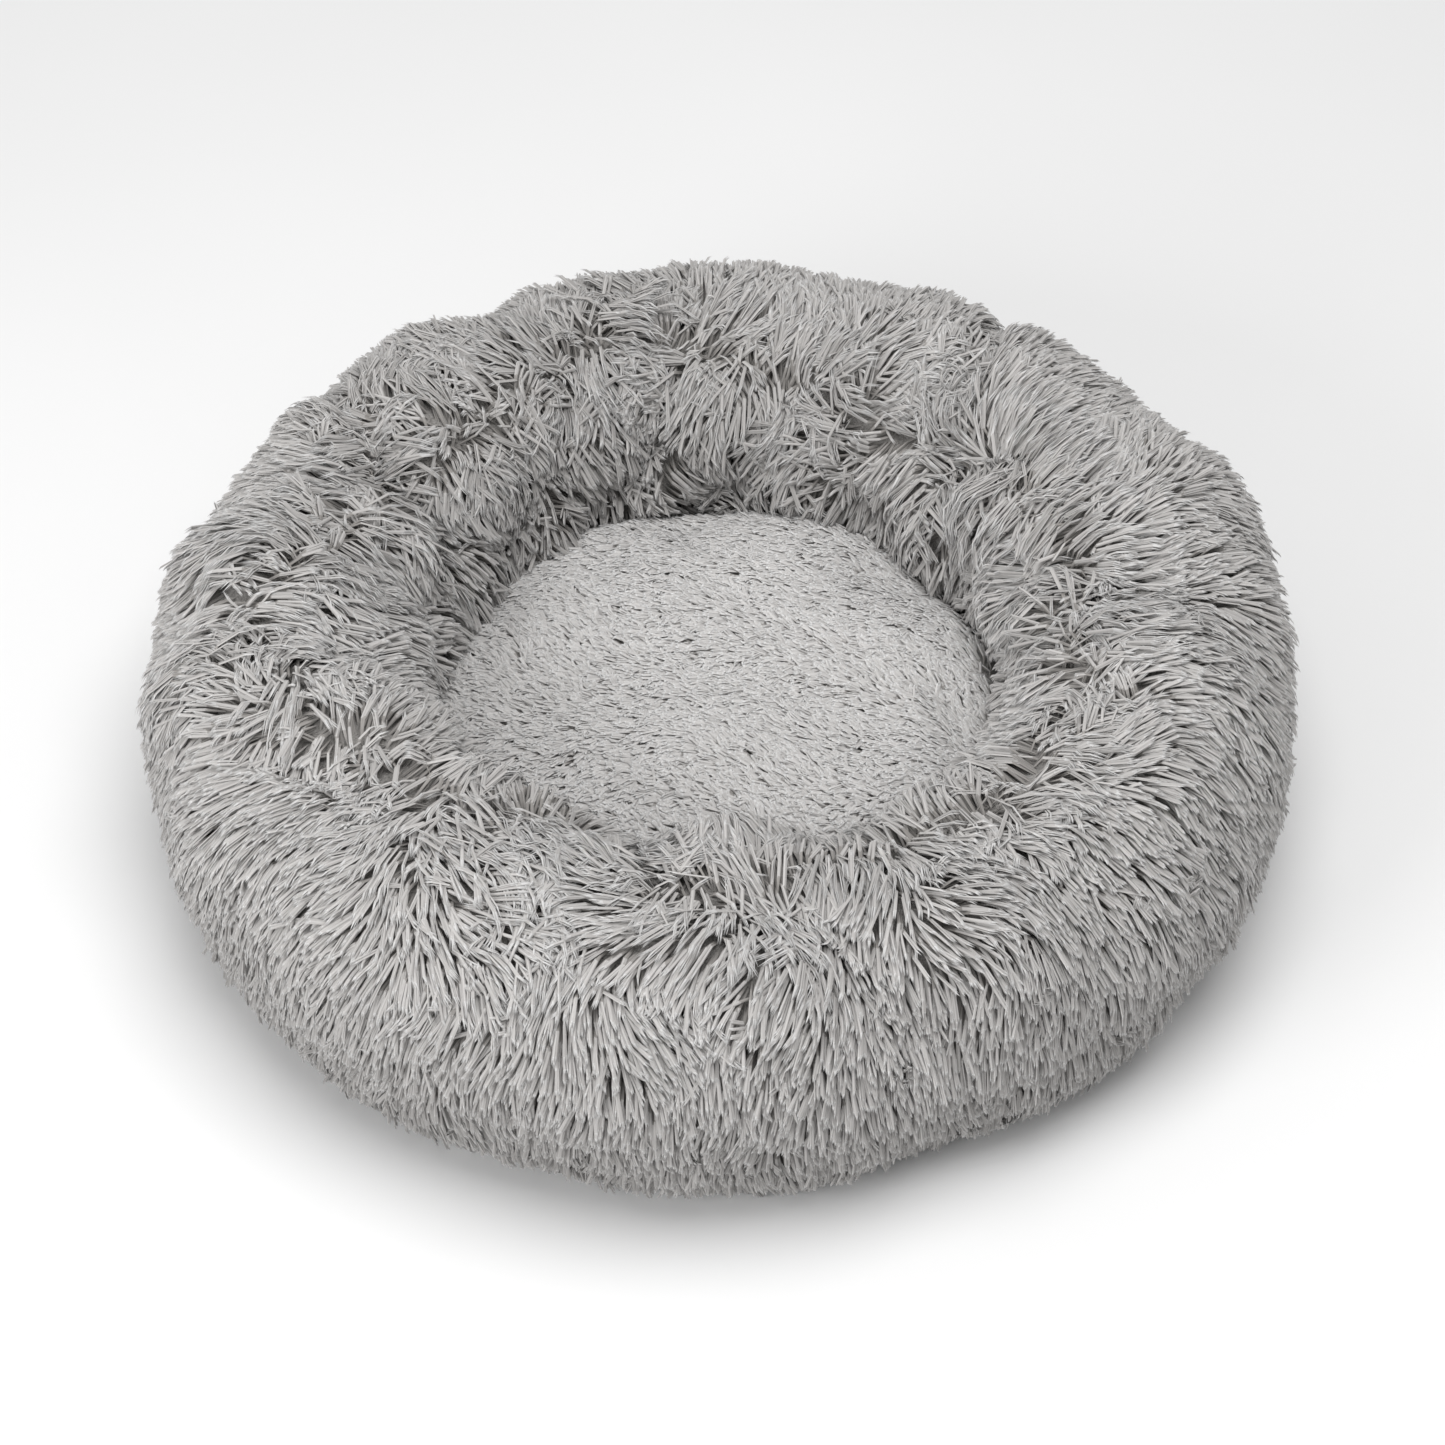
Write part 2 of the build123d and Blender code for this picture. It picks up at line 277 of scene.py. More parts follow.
class Skin:
    """A surface round the bed: a plain shape plus what the simulation moved it by.

    Its grid goes round by azimuth and across from low to high, with its outer side up.
    """

    def __init__(self, shape, rows, columns, low, high):
        self.low = low
        self.high = high
        az = np.arange(rows) * FULL_TURN / rows
        across = np.linspace(low, high, columns)
        self.plain = shape(*np.meshgrid(az, across, indexing="ij"))
        self.moved = np.zeros_like(self.plain)

    def settle(self, sewn, pressure, cap):
        """Runs the simulation."""
        self.moved = inflated(self.plain, sewn, pressure, cap) - self.plain

    def points(self):
        """The surface on its own grid."""
        return self.plain + self.moved

    def moved_at(self, az, across):
        """What the simulation moved the surface by, between the points of the grid."""
        rows, columns = self.moved.shape[:2]
        row = (az / FULL_TURN * rows) % rows
        column = np.clip((across - self.low) / (self.high - self.low), 0, 1) * (columns - 1)
        low_row = np.floor(row).astype(int) % rows
        low_column = np.minimum(np.floor(column).astype(int), columns - 2)
        over = (row - np.floor(row))[..., None]
        along = (column - low_column)[..., None]
        ends = []
        for end in (low_row, (low_row + 1) % rows):
            ends.append(self.moved[end, low_column] * (1 - along) + self.moved[end, low_column + 1] * along)
        return ends[0] * (1 - over) + ends[1] * over


class RimSkin(Skin):
    """The rim's skin, over az and turn."""

    def __init__(self):
        super().__init__(rim_shape, rows=240, columns=73, low=SKIN_FROM, high=SKIN_TO)

    def __call__(self, az, turn):
        return rim_shape(az, turn) + self.moved_at(az, turn)


class PadSkin(Skin):
    """The pad's skin, over x and y."""

    def __init__(self):
        super().__init__(pad_shape_round, rows=144, columns=40, low=PAD_REACH, high=0.001)

    def __call__(self, x, y):
        return pad_shape(x, y) + self.moved_at(np.arctan2(y, x), np.hypot(x, y))


def frames_of(surface, a, b, step=1e-4):
    """Point, two unit tangents, normal and stretch of a skin at its two coordinates."""
    here = surface(a, b)
    along_a = (surface(a + step, b) - here) / step
    along_b = (surface(a, b + step) - here) / step
    stretch = np.linalg.norm(along_a, axis=-1), np.linalg.norm(along_b, axis=-1)
    normal = unit(np.cross(along_a, along_b))
    return here, unit(along_a), unit(along_b), normal, stretch


# ---- pile --------------------------------------------------------------------------------
FIBRE_FLATNESS = 0.5        # thickness over width
NORMAL_SOFTNESS = 0.60      # how far a fibre's shading follows its lock
LOCK_ROUNDNESS = 0.75       # how far a lock's shading turns from its middle to its side fibres
FACES_EACH = 190000         # at most, in one piece of the pile
FLOOR_CLEAR = 0.0004        # from the floor to the lowest fibres
FLOOR_SPREAD = 0.8          # how far a fibre that the floor presses up moves outward
# Where the rings of a fibre lie along it, and their widths, for a blunt fibre and a tapered one
BLUNT_SHARES = np.array([0, 0.48, 0.94, 1.0])
TAPERED_SHARES = np.array([0, 0.40, 0.77, 1.0])
BLUNT_WIDTHS = np.array([0.55, 0.95, 1.0, 0.0])
TAPERED_WIDTHS = np.array([0.60, 0.95, 0.70, 0.0])
RINGS = len(BLUNT_SHARES)
CORNERS = 3                 # round a fibre
TONES_MIXED = 3             # neighbouring tones of a palette that lie side by side


@dataclass
class Locks:
    """A pile's locks: paths by ring, skin normal below each, and how tapered each is, from 0 to 1."""

    path: np.ndarray
    normal: np.ndarray
    taper: np.ndarray

    def shares(self):
        """Where along each lock its rings lie."""
        return BLUNT_SHARES + self.taper[:, None] * (TAPERED_SHARES - BLUNT_SHARES)

    def widths(self):
        """Share of the full width at each ring."""
        return BLUNT_WIDTHS + self.taper[:, None] * (TAPERED_WIDTHS - BLUNT_WIDTHS)


HASH_FACTOR = 2654435761
HASH_SIZE = 1000003


def tufted(points, size, seed):
    """For each point, the nearest of a set of scattered tuft middles about size apart."""
    cell = np.floor(points / size).astype(np.int64)
    salts = np.random.default_rng(seed).integers(1, 2**31, size=(3, 3))
    best = np.full(len(points), np.inf)
    nearest = points.copy()
    for offset in itertools.product((-1, 0, 1), repeat=3):
        key = cell + offset
        mixed = np.stack([(key * salt).sum(axis=1) for salt in salts], axis=1)
        jitter = mixed * HASH_FACTOR % HASH_SIZE / HASH_SIZE
        middle = (key + jitter) * size
        far = ((points - middle) ** 2).sum(axis=1)
        closer = far < best
        best = np.where(closer, far, best)
        nearest[closer] = middle[closer]
    return nearest


def turned_by(heading, angle):
    """Directions in the skin, turned by an angle each."""
    across = np.stack([-heading[:, 1], heading[:, 0]], axis=1)
    return heading * np.cos(angle)[:, None] + across * np.sin(angle)[:, None]


def grow_locks(surface, a, b, heading, lift, length, bend, arch, taper):
    """Locks rooted at skin coordinates (a, b).

    heading holds each lock's direction along the two skin tangents. lift is how far the tip stands
    off the skin and length how far it runs over it. bend is the angle it turns through sideways,
    and arch, from 0 to 1, how much its tip droops.
    """
    _, _, _, normal, stretch = frames_of(surface, a, b)
    locks = Locks(np.empty((len(a), RINGS, 3)), normal, taper)
    shares = locks.shares()
    for ring in range(RINGS):
        share = shares[:, ring]
        way = turned_by(heading, bend * share / 2) * (length * share ** 1.25)[:, None]
        place, _, _, out, _ = frames_of(surface, a + way[:, 0] / stretch[0], b + way[:, 1] / stretch[1])
        rise = (1 - arch) * share ** 0.8 + arch * np.sin(share * 2.1)
        locks.path[:, ring] = place + out * (lift * rise)[:, None]
    return locks


def pull_to_tufts(locks, size, amount, seed):
    """Draws the tips of neighbouring locks together, by amount, which leaves dark gaps between tufts."""
    roots = locks.path[:, 0]
    reach = tufted(roots, size, seed) - roots
    reach -= locks.normal * (reach * locks.normal).sum(axis=1, keepdims=True)
    pull = np.reshape(amount, (-1, 1)) * locks.shares() ** 1.3
    locks.path += reach[:, None, :] * pull[..., None]


def split_locks(locks, seed, fibres, splay, width):
    """Splits each lock into flat fibres, side by side, splayed apart.

    Returns their paths, half widths at each ring, the way each faces and the normal of the lock there.
    """
    rng = np.random.default_rng(seed)
    count = len(locks.path) * fibres
    many = np.repeat(locks.path, fibres, axis=0)
    shares = np.repeat(locks.shares(), fibres, axis=0)
    normal = np.repeat(locks.normal, fibres, axis=0)
    facing = unit(normal + 0.35 * rng.normal(size=(count, 3)))
    side = unit(np.cross(many[:, -1] - many[:, 0], facing))
    place = np.tile(np.linspace(-1, 1, fibres), len(locks.path)) + 0.25 * rng.normal(size=count)
    away = side * place[:, None] + facing * (0.35 * rng.normal(size=count) - 0.5 * place**2)[:, None]
    spread = splay * (0.5 + 0.5 * shares)
    many += away[:, None] * spread[..., None]
    shorten = rng.uniform(0.90, 1.0, count)
    many = many[:, :1] + (many - many[:, :1]) * shorten[:, None, None]
    pressed = np.maximum(FLOOR_CLEAR + width - many[..., 2], 0)[..., None]
    outward = unit(many[:, :1] * (1, 1, 0))
    many += pressed * (FLOOR_SPREAD * outward + (0, 0, 1))
    radii = np.repeat(locks.widths(), fibres, axis=0) * (width * rng.uniform(0.8, 1.15, (count, 1)))
    rounded = unit(normal + LOCK_ROUNDNESS * place[:, None] * side)
    return many, radii, facing, rounded


def fibre_faces():
    """Triangles of one closed fibre that ends in a point, and the band of its length each is in."""
    faces, bands = [(0, 2, 1)], [0]
    for ring in range(RINGS - 2):
        for corner in range(CORNERS):
            near, far = ring * CORNERS + corner, ring * CORNERS + (corner + 1) % CORNERS
            faces += [(near, far, far + CORNERS), (near, far + CORNERS, near + CORNERS)]
            bands += [ring, ring]
    last, tip = (RINGS - 2) * CORNERS, (RINGS - 1) * CORNERS
    for corner in range(CORNERS):
        faces.append((last + corner, last + (corner + 1) % CORNERS, tip))
        bands.append(RINGS - 2)
    return np.array(faces), np.array(bands)


def fibre_mesh(name, paths, radii, facing, normal, tones):
    """One mesh of flat closed fibres, three-cornered, with soft shading."""
    count = len(paths)
    along = unit(np.gradient(paths, axis=1))
    side = unit(np.cross(facing[:, None], along))
    other = np.cross(along, side)
    corners = [FULL_TURN * (corner / CORNERS + 0.25) for corner in range(CORNERS)]
    spokes = np.stack([math.cos(c) * side + math.sin(c) * FIBRE_FLATNESS * other for c in corners], axis=2)
    tubes = paths[:, :-1, None] + spokes[:, :-1] * radii[:, :-1, None, None]
    verts = np.concatenate([tubes.reshape(count, -1, 3), paths[:, -1:]], axis=1)
    soft = NORMAL_SOFTNESS * normal[:, None, None]
    shading = unit((1 - NORMAL_SOFTNESS) * unit(spokes[:, :-1]) + soft)
    tip_shading = unit((1 - NORMAL_SOFTNESS) * along[:, -1:] + soft[:, 0])
    shading = np.concatenate([shading.reshape(count, -1, 3), tip_shading], axis=1)
    one, bands = fibre_faces()
    faces = (one[None] + (np.arange(count) * verts.shape[1])[:, None, None]).reshape(-1, 3)
    slots = (tones[:, None] * (RINGS - 1) + bands[None]).reshape(-1)
    mesh = bpy.data.meshes.new(name)
    mesh.vertices.add(verts.shape[0] * verts.shape[1])
    mesh.vertices.foreach_set("co", verts.reshape(-1).astype(np.float32))
    mesh.loops.add(faces.size)
    mesh.loops.foreach_set("vertex_index", faces.reshape(-1).astype(np.int32))
    mesh.polygons.add(len(faces))
    mesh.polygons.foreach_set("loop_start", np.arange(0, faces.size, 3, dtype=np.int32))
    mesh.polygons.foreach_set("material_index", slots.astype(np.int32))
    mesh.update()
    mesh.normals_split_custom_set_from_vertices(shading.reshape(-1, 3).astype(np.float32))
    return mesh


def add_pile(name, slot, locks, materials, painted_shade, seed, fibres, splay, width):
    """Puts a pile in the scene, shared out between a few pieces.

    Each lock's painted shade, from 0 to 1, moves its fibres to the palette's darker tones.
    """
    paths, radii, facing, normal = split_locks(locks, seed, fibres, splay, width)
    choices = len(materials) // (RINGS - 1)
    drawn = np.random.default_rng(seed + 1).uniform(0, TONES_MIXED, len(paths))
    tones = (drawn + np.repeat(painted_shade, fibres) * (choices - TONES_MIXED)).astype(int)
    pieces = math.ceil(len(paths) * len(fibre_faces()[0]) / FACES_EACH)
    for index, part in enumerate(np.array_split(np.arange(len(paths)), pieces)):
        shares = [whole[part] for whole in (paths, radii, facing, normal, tones)]
        mesh = fibre_mesh(f"{name}_{index:02d}", *shares)
        pile = linked(mesh)
        for material in materials:
            mesh.materials.append(material)
        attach(pile, "bed")


PARTING = math.radians(112)         # turn at which the rim's pile parts
PARTING_SWING = math.radians(18)    # how far the parting moves inward
PARTING_INWARD_AT = math.radians(49)    # on this side of the bed, and outward on the other
CREST_EXTRA = 0.45                  # how much denser the pile is on the crest
TUFT = 0.030                        # size of the large tufts on the crest
TUFT_FAN = 0.5                      # how far they fan open
CLUMP = 0.015                       # size of the small clumps on the inner wall
SHINGLE = 0.0085                    # size of the little bundles that the locks lie in
RIM_LIFT = 0.0138                   # how far the rim's locks stand off the skin
RIM_LENGTH = 0.0185                 # how far they run over it
CREST_LONGER = 0.009
WALL_SHORTER = 0.0065               # on the inner wall
STRAYS = 0.04                       # share of the locks that stray
PAD_LIFT = 0.0047                   # the same for the pad
PAD_LENGTH = 0.0115
PLASTIC = 1.32471795724474602596    # steps of its inverse powers fill a square evenly


def rim_roots(count):
    """Roots spread evenly over the rim's skin, closer together on the crest, in order round the bed."""
    index = np.arange(count) + 0.5
    round_share, turn_share = (index / PLASTIC) % 1, (index / PLASTIC ** 2) % 1
    turn = np.linspace(PILE_FROM, SKIN_TO, 400)
    _, _, _, _, stretch = frames_of(rim, np.zeros(len(turn)), turn)
    weight = stretch[0] * stretch[1] * (1 + CREST_EXTRA * bump(turn - PARTING, 0.5))
    filled = np.concatenate([[0], np.cumsum((weight[1:] + weight[:-1]) / 2)])
    az = round_share * FULL_TURN
    turn = np.interp(turn_share, filled / filled[-1], turn)
    order = np.argsort(az)
    return az[order], turn[order]


@dataclass
class Combing:
    """How the rim's pile lies at each lock."""

    heading: np.ndarray     # direction along the two skin tangents
    crest: np.ndarray       # 1 at the parting, 0 away from it
    inside: np.ndarray      # 1 on the inner wall, 0 outside the parting
    lean: np.ndarray        # noise that is one value in each large tuft
    twist: np.ndarray       # and a second such noise


def comb_rim(az, turn):
    """Combing of the rim: downhill either side of a ragged parting, mussed into tufts.

    Large tufts flop and fan their own way near the parting, and small clumps lie every way on the
    inner wall, most of all at the back.
    """
    rng = np.random.default_rng(SEED + 12)
    points, round_way, over_way, _, _ = frames_of(rim, az, turn)
    jitter = rng.normal(size=points.shape)
    tuft = tufted(points + 0.0035 * jitter, TUFT, SEED + 6)
    clump = tufted(points + 0.0010 * jitter, CLUMP, SEED + 18)
    lean = waves(tuft, 0.004, SEED + 5)
    parting = PARTING + PARTING_SWING * np.cos(az - PARTING_INWARD_AT)
    past = turn - parting - 0.22 * waves(points, 0.15, SEED + 3)
    downhill = np.where(past + 0.16 * lean + 0.10 * rng.normal(size=len(az)) > 0, 1.0, -1.0)
    inside = 1 / (1 + np.exp(-(past - 0.1) / 0.12))
    mussed = np.clip(0.5 + 0.9 * waves(points, 0.10, SEED + 10), 0, 1)
    sway = (0.10 + 0.45 * bump(past, 0.8)) * waves(points, 0.11, SEED + 4)
    sway += mussed * (0.04 + 0.36 * bump(past, 0.5)) * waves(tuft, 0.005, SEED + 7)
    sway += (0.42 + 0.28 * np.sin(az)) * inside * waves(clump, 0.003, SEED + 19)
    heading = np.stack([0.12 * waves(points, 0.06, SEED + 8), downhill], axis=1)
    away = (points - tuft) / TUFT
    fan = np.stack([(away * round_way).sum(axis=1), (away * over_way).sum(axis=1)], axis=1)
    heading = turned_by(heading, sway) + TUFT_FAN * bump(past, 0.5)[:, None] * fan
    return Combing(unit(heading), bump(past, 0.6), inside, lean, waves(tuft, 0.006, SEED + 9))


def rim_pile(count, materials):
    """The rim's long pile, with painted shade: darker near the floor and on the back's inner wall."""
    az, turn = rim_roots(count)
    rng = np.random.default_rng(SEED + 21)
    comb = comb_rim(az, turn)
    shingle = tufted(rim(az, turn), SHINGLE, SEED + 14)
    crest = comb.crest
    wall = comb.inside * (1 - crest)
    low = step_up(-turn, 0, 1)
    upright = waves(shingle, 0.003, SEED + 24) > 2.0 - (0.9 + 0.35 * np.sin(az)) * crest
    wander = (0.11 - 0.04 * crest) * rng.normal(size=count)
    wander += (0.13 + 0.07 * crest) * waves(shingle, 0.004, SEED + 15)
    wander += 1.5 * upright * waves(shingle, 0.003, SEED + 26)
    wander += 0.4 * (rng.uniform(size=count) < STRAYS) * rng.normal(size=count)
    heading = turned_by(comb.heading, wander)
    lift = RIM_LIFT + 0.0012 * (1 + crest) * comb.lean
    lift += 0.0008 * (1 + wall) * waves(shingle, 0.004, SEED + 16)
    lift *= rng.uniform(0.84, 1.08, count)
    length = RIM_LENGTH + CREST_LONGER * crest - WALL_SHORTER * wall
    length *= (1 + 0.07 * waves(shingle, 0.004, SEED + 17))
    length *= rng.uniform(0.84, 1.14, count) * np.where(upright, 0.45, 1)
    length *= (1 - 0.75 * step_up(-turn, 0.8, 1.15))
    bend = (0.25 + 0.55 * crest) * (0.7 * comb.twist + 0.4 * waves(shingle, 0.004, SEED + 25))
    taper = 0.10 + 0.7 * crest
    locks = grow_locks(rim, az, turn, heading, lift, length, bend, 0.15 + 0.55 * crest, taper)
    pull_to_tufts(locks, 0.012, 0.28 + 0.24 * wall + 0.20 * low, SEED + 22)
    pull_to_tufts(locks, SHINGLE, 0.10 + 0.35 * crest, SEED + 14)
    # Painted shade: locks low on the outside and on the back's crest and inner wall take darker tones, for
    # the shade that falls there.
    back = np.clip(np.sin(az), 0, 1)
    painted_shade = np.maximum(step_up(-turn, -0.45, 0.45), back * np.maximum(0.8 * comb.inside, 0.45 * crest))
    yarn = {"fibres": 4, "splay": 0.00072, "width": 0.00056}
    add_pile("rim_pile", "plush_rim", locks, materials, painted_shade, SEED + 23, **yarn)


def pad_pile(count, materials):
    """The floor panel's short pile, combed nearly flat."""
    rng = np.random.default_rng(SEED + 30)
    index = np.arange(count) + 0.5
    reach = PAD_RADIUS * np.sqrt(index / count)
    az = index * math.pi * (3 - math.sqrt(5))
    pitch = PAD_RADIUS * math.sqrt(math.pi / count)
    x = reach * np.cos(az) + rng.normal(size=count) * 0.35 * pitch
    y = reach * np.sin(az) + rng.normal(size=count) * 0.35 * pitch
    order = np.argsort(x)
    x, y = x[order], y[order]
    points = pad(x, y)
    angle = math.pi + 0.30 * waves(points, 0.12, SEED + 31) + 0.22 * waves(points, 0.03, SEED + 32)
    angle += rng.normal(size=count) * 0.14
    heading = np.stack([np.cos(angle), np.sin(angle)], axis=1)
    lift = PAD_LIFT * rng.uniform(0.8, 1.15, count)
    length = PAD_LENGTH * rng.uniform(0.80, 1.2, count)
    bend = 0.7 * waves(points, 0.008, SEED + 37) + 0.25 * rng.normal(size=count)
    flat = np.full(count, 0.3)
    locks = grow_locks(pad, x, y, heading, lift, length, bend, flat, flat)
    pull_to_tufts(locks, 0.006, 0.12, SEED + 34)
    yarn = {"fibres": 3, "splay": 0.00070, "width": 0.00062}
    add_pile("cushion_pile", "plush_floor", locks, materials, np.zeros(count), SEED + 35, **yarn)


# ---- materials ---------------------------------------------------------------------------
def set_inputs(node, values):
    """Sets a node's own numbers and colours by name."""
    for name, value in values.items():
        node.inputs[name].default_value = value


class Texture:
    """A material whose colour, roughness and relief come from nodes, at real scale."""

    def __init__(self, name, specular=0.4, sheen=0.0, metallic=0.0):
        self.material = bpy.data.materials.new(name)
        self.material.use_nodes = True
        self.nodes = self.material.node_tree.nodes
        self.links = self.material.node_tree.links
        self.shader = self.nodes["Principled BSDF"]
        looks = {"Specular IOR Level": specular, "Sheen Weight": sheen, "Metallic": metallic}
        set_inputs(self.shader, looks)
        self.place = self.nodes.new("ShaderNodeTexCoord").outputs["Object"]

    def laid(self, kind, values):
        """A texture node of this kind, laid over the piece at real scale."""
        node = self.nodes.new(f"ShaderNodeTex{kind}")
        set_inputs(node, values)
        self.links.new(self.place, node.inputs["Vector"])
        return node

    def noise(self, size, detail=3.0):
        """Cloudy noise whose blotches are about size across."""
        return self.laid("Noise", {"Scale": 1 / size, "Detail": detail}).outputs["Fac"]

    def cells(self, size):
        """Distance from the middle of the nearest cell, with cells about size across."""
        return self.laid("Voronoi", {"Scale": 1 / size}).outputs["Distance"]

    def bands(self, axis, pitch):
        """Soft parallel ridges across an axis."""
        node = self.laid("Wave", {"Scale": FULL_TURN / 20 / pitch})
        node.bands_direction = axis
        return node.outputs["Fac"]

    def maths(self, operation, first, second):
        """Arithmetic between two sockets, or a socket and a number."""
        node = self.nodes.new("ShaderNodeMath")
        node.operation = operation
        self.links.new(first, node.inputs[0])
        if isinstance(second, float):
            set_inputs(node, {1: second})
        else:
            self.links.new(second, node.inputs[1])
        return node.outputs["Value"]

    def weave(self, first, second, pitch):
        """Threads crossing over and under along two axes."""
        warp = self.maths("SUBTRACT", self.bands(first, pitch), 0.5)
        weft = self.maths("SUBTRACT", self.bands(second, pitch), 0.5)
        crossed = self.maths("MULTIPLY", warp, weft)
        return self.maths("ADD", self.maths("MULTIPLY", crossed, 2.0), 0.5)

    def coloured(self, factor, dark, light, low=0.3, high=0.7):
        """Sets the colour, between dark and light as the factor goes from low to high."""
        node = self.nodes.new("ShaderNodeValToRGB")
        node.color_ramp.elements[0].position = low
        node.color_ramp.elements[0].color = (*dark, 1)
        node.color_ramp.elements[1].position = high
        node.color_ramp.elements[1].color = (*light, 1)
        self.links.new(factor, node.inputs["Fac"])
        self.links.new(node.outputs["Color"], self.shader.inputs["Base Color"])

    def roughened(self, factor, low, high):
        """Sets the roughness, from low to high as the factor rises."""
        node = self.nodes.new("ShaderNodeMapRange")
        set_inputs(node, {"To Min": low, "To Max": high})
        self.links.new(factor, node.inputs["Value"])
        self.links.new(node.outputs["Result"], self.shader.inputs["Roughness"])

    def raised(self, height, depth):
        """Sets the relief: depth is its height in metres."""
        node = self.nodes.new("ShaderNodeBump")
        set_inputs(node, {"Distance": depth})
        self.links.new(height, node.inputs["Height"])
        self.links.new(node.outputs["Normal"], self.shader.inputs["Normal"])

    def finished(self, factor, colours, rough, depth, low=0.3, high=0.7):
        """Sets colour, roughness and relief from one factor, and gives the material."""
        self.coloured(factor, *colours, low, high)
        self.roughened(factor, *rough)
        self.raised(factor, depth)
        return self.material


def fibre_material(name, colour):
    """One tone of fibre at one part of its length."""
    material = bpy.data.materials.new(name)
    material.use_nodes = True
    shader = material.node_tree.nodes["Principled BSDF"]
    set_inputs(shader, {"Base Color": (*colour, 1), "Roughness": 0.75, "Specular IOR Level": 0.15})
    set_inputs(shader, {"Sheen Weight": 0.25, "Sheen Roughness": 0.4})
    return material


def palette(name, tones, painted_shades):
    """Fibre materials: for each tone, one for each band of a fibre's length, from root to tip, with painted
    shade darkening the roots.
    """
    made = []
    for index, tone in enumerate(tones):
        for band, painted_shade in enumerate(painted_shades):
            colour = [channel * share for channel, share in zip(tone, painted_shade)]
            made.append(fibre_material(f"{name}_{index}_{band}", colour))
    return made


def knit_backing(name):
    """The plush's knitted backing, mottled; its dark colour is painted shade for the gaps between the
    locks, where it shows.
    """
    cloth = Texture(name, specular=0.15, sheen=0.3)
    mottle = cloth.noise(0.0011)
    return cloth.finished(mottle, ((0.20, 0.19, 0.18), (0.38, 0.365, 0.35)), (0.85, 1.0), 0.0012)


def spunbond(name):
    """Thin white non-woven cloth, dimpled where its fibres are bonded."""
    cloth = Texture(name, specular=0.3)
    dimples = cloth.maths("MINIMUM", cloth.cells(0.0028), 0.45)
    fibres = cloth.noise(0.0007, 5.0)
    cloth.coloured(fibres, (0.74, 0.74, 0.72), (0.86, 0.86, 0.845))
    cloth.roughened(dimples, 0.55, 0.8)
    cloth.raised(cloth.maths("ADD", dimples, cloth.maths("MULTIPLY", fibres, 0.3)), 0.0005)
    return cloth.material


def wadding(name):
    """White polyester filling."""
    cloth = Texture(name, specular=0.1, sheen=0.5)
    tangle = cloth.noise(0.004, 6.0)
    return cloth.finished(tangle, ((0.80, 0.80, 0.785), (0.93, 0.93, 0.92)), (0.9, 1.0), 0.004)


def oxford(name, pitch=0.0007):
    """Dark plain-woven cloth, with its threads a pitch apart, worn in patches."""
    cloth = Texture(name, specular=0.3, sheen=0.1)
    threads = cloth.weave("X", "Y", pitch)
    worn = cloth.maths("MULTIPLY", threads, cloth.noise(0.012, 4.0))
    cloth.coloured(worn, (0.10, 0.10, 0.102), (0.24, 0.238, 0.235), 0.1, 0.6)
    cloth.roughened(threads, 0.9, 0.65)
    cloth.raised(threads, pitch * 0.35)
    return cloth.material


def herringbone(name):
    """Zip tape: fine slanted ribs."""
    cloth = Texture(name, specular=0.35, sheen=0.15)
    ribs = cloth.maths("MULTIPLY", cloth.bands("DIAGONAL", 0.0011), cloth.bands("X", 0.0006))
    return cloth.finished(ribs, ((0.11, 0.11, 0.108), (0.22, 0.218, 0.215)), (0.85, 0.6), 0.00025, 0.0, 0.8)


def moulded(name, colours, rough, grain):
    """Plastic with a faint grain."""
    plastic = Texture(name, specular=0.5)
    return plastic.finished(plastic.noise(grain), colours, rough, grain * 0.04)


def scuffed_metal(name, colours, metallic):
    """Bare or painted zip metal, lightly scuffed."""
    metal = Texture(name, specular=0.5, metallic=metallic)
    return metal.finished(metal.noise(0.0016, 6.0), colours, (0.28, 0.5), 0.00006)


def twisted_thread(name):
    """Polyester sewing thread."""
    thread = Texture(name, specular=0.4, sheen=0.2)
    ply = thread.bands("DIAGONAL", 0.0005)
    return thread.finished(ply, ((0.24, 0.24, 0.238), (0.37, 0.368, 0.365)), (0.7, 0.5), 0.00008, 0.1, 0.9)


def satin(name):
    """Blank woven label."""
    cloth = Texture(name, specular=0.5, sheen=0.2)
    colours = (0.86, 0.86, 0.85), (0.95, 0.95, 0.94)
    return cloth.finished(cloth.bands("X", 0.0003), colours, (0.55, 0.35), 0.00006, 0.0, 1.0)


# ---- skins and inserts -------------------------------------------------------------------
def skin_piece(name, skin, slot, replaced):
    """The backing of one of the two plush panels."""
    points = skin.points()
    made = new_object(name, points.reshape(-1, 3), grid_faces(*points.shape[:2], True))
    add_piece(made, slot, knit_backing(name), replaced)


BAG_INSET = 0.004           # from the cover to the inserts inside it
FILL_INSET = 0.006          # from a bag to its filling
FILL_LIFT = 0.002           # and underneath
BAG_LOW = 0.0022            # underside of the inserts
CHANNEL_HALF = 0.019        # half the width of the hollow the zip presses into the inserts
CHANNEL_TOP = 0.0112
CHANNEL_REACH = ZIP_END + 0.012
INSERT_RADIUS = RIM_MIDDLE - RIM_HALF - 0.003       # the pad insert fills the hole in the ring
INSERT_WELT = 0.002         # how far the seam round its middle stands out


def over_zip(points, low):
    """Rests the underside of an insert on the base, clear of the zip."""
    aside = np.abs(points[..., 1] - ZIP_Y) / CHANNEL_HALF
    beyond = (np.abs(points[..., 0]) - CHANNEL_REACH) / CHANNEL_HALF
    press = np.clip(2.2 - aside, 0, 1) * np.clip(1.5 - beyond, 0, 1)
    floor = low + (CHANNEL_TOP - BAG_LOW) * press
    points[..., 2] = np.maximum(points[..., 2], floor)
    return points


def ring_insert_points(inset):
    """The ring insert: the rim's shape, taken in."""
    az = np.linspace(0, FULL_TURN, 181)[:-1]
    turn = np.linspace(-np.pi, np.pi, 73)
    return rim_shape(*np.meshgrid(az, turn, indexing="ij"), BAG_INSET + inset)


